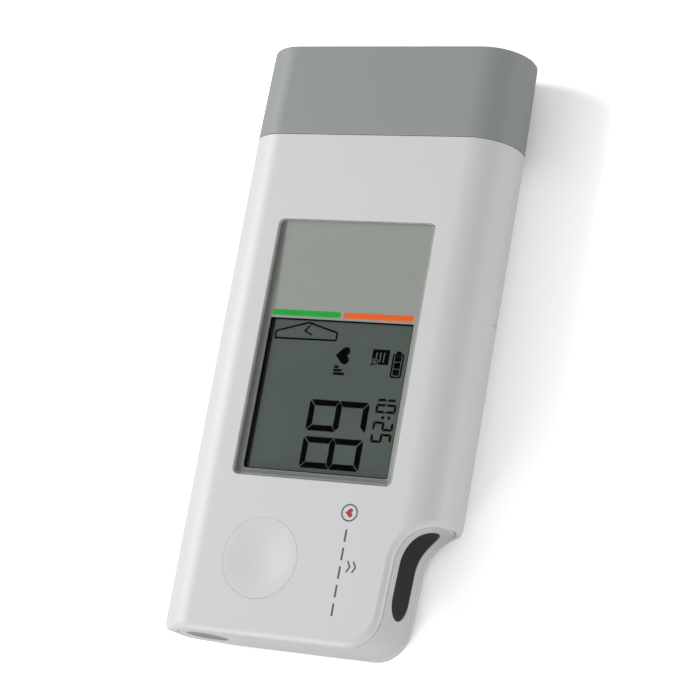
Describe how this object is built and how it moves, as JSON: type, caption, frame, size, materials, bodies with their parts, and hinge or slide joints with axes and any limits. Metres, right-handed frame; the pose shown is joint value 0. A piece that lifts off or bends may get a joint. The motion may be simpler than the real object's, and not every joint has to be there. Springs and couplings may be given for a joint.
{
  "type": "ecg home monitor",
  "caption": "Pocket ECG monitor with a pull-off plug cap, a display window, a dished key, a finger recess and chest and finger electrodes in a side band.",
  "frame": {"origin": "centre of the back face's bounding box: the monitor lies on its back", "axes": "+Z out of the display side, +Y along the length towards the cap, +X to the right seen from the front"},
  "size_m": [0.058, 0.122, 0.018],
  "materials": {
    "white_plastic": "fine matt, moulded",
    "grey_plastic": "fine matt, moulded",
    "band_plastic": "fine matt, moulded",
    "clear_pane": "polished clear acrylic",
    "mask_print": "screen print seen through the pane",
    "green_print": "screen print",
    "orange_print": "screen print",
    "lcd_panel": "reflective display glass",
    "black_electrode": "conductive, satin",
    "metal_electrode": "turned, satin",
    "label_foil": "bare foil label",
    "frame_plastic": "natural",
    "zebra_rubber": "layered",
    "board_laminate": "solder mask",
    "chip_epoxy": "moulded epoxy",
    "plug_steel": "nickel plated",
    "tongue_plastic": "moulded",
    "gold_contact": "plated",
    "cell_wrap": "printed sleeve, bare",
    "cell_steel": "nickel plated",
    "screw_steel": "zinc plated"
  },
  "bodies": {
    "casing": {"front_shell": "white_plastic", "rear_shell": "white_plastic", "neck_collar": "grey_plastic", "display_lens": "clear_pane", "display_mask": "mask_print", "normal_stripe": "green_print", "attention_stripe": "orange_print", "electrode_band": "band_plastic", "finger_electrode": "black_electrode", "chest_electrode": "metal_electrode", "rating_label": "label_foil", "lcd_glass": "lcd_panel", "lcd_frame": "frame_plastic", "zebra_strips": "zebra_rubber", "main_board": "board_laminate", "board_chips": "chip_epoxy", "key_switch": "chip_epoxy", "usb_shell": "plug_steel", "usb_tongue": "tongue_plastic", "usb_contacts": "gold_contact", "buzzer": "chip_epoxy", "finger_contact": "gold_contact", "chest_contact": "gold_contact", "battery_cells": "cell_wrap", "cell_caps": "cell_steel", "cell_contacts": "cell_steel", "battery_tray": "frame_plastic", "case_screws": "screw_steel", "board_screws": "screw_steel"},
    "battery_door": {"battery_door": "white_plastic"},
    "cap": {"cap": "grey_plastic"},
    "key": {"function_key": "white_plastic", "switch_plunger": "frame_plastic"}
  },
  "joints": [
    {"name": "cap_slide", "type": "slide", "parent": "casing", "child": "cap", "axis": [0, 1, 0], "range_m": [0, 0.022]},
    {"name": "door_slide", "type": "slide", "parent": "casing", "child": "battery_door", "axis": [0, -1, 0], "range_m": [0, 0.072]},
    {"name": "key_press", "type": "slide", "parent": "casing", "child": "key", "axis": [0, 0, -1], "range_m": [0, 0.0004], "stiffness_N_per_m": 1200, "springref_m": -0.0003}
  ]
}
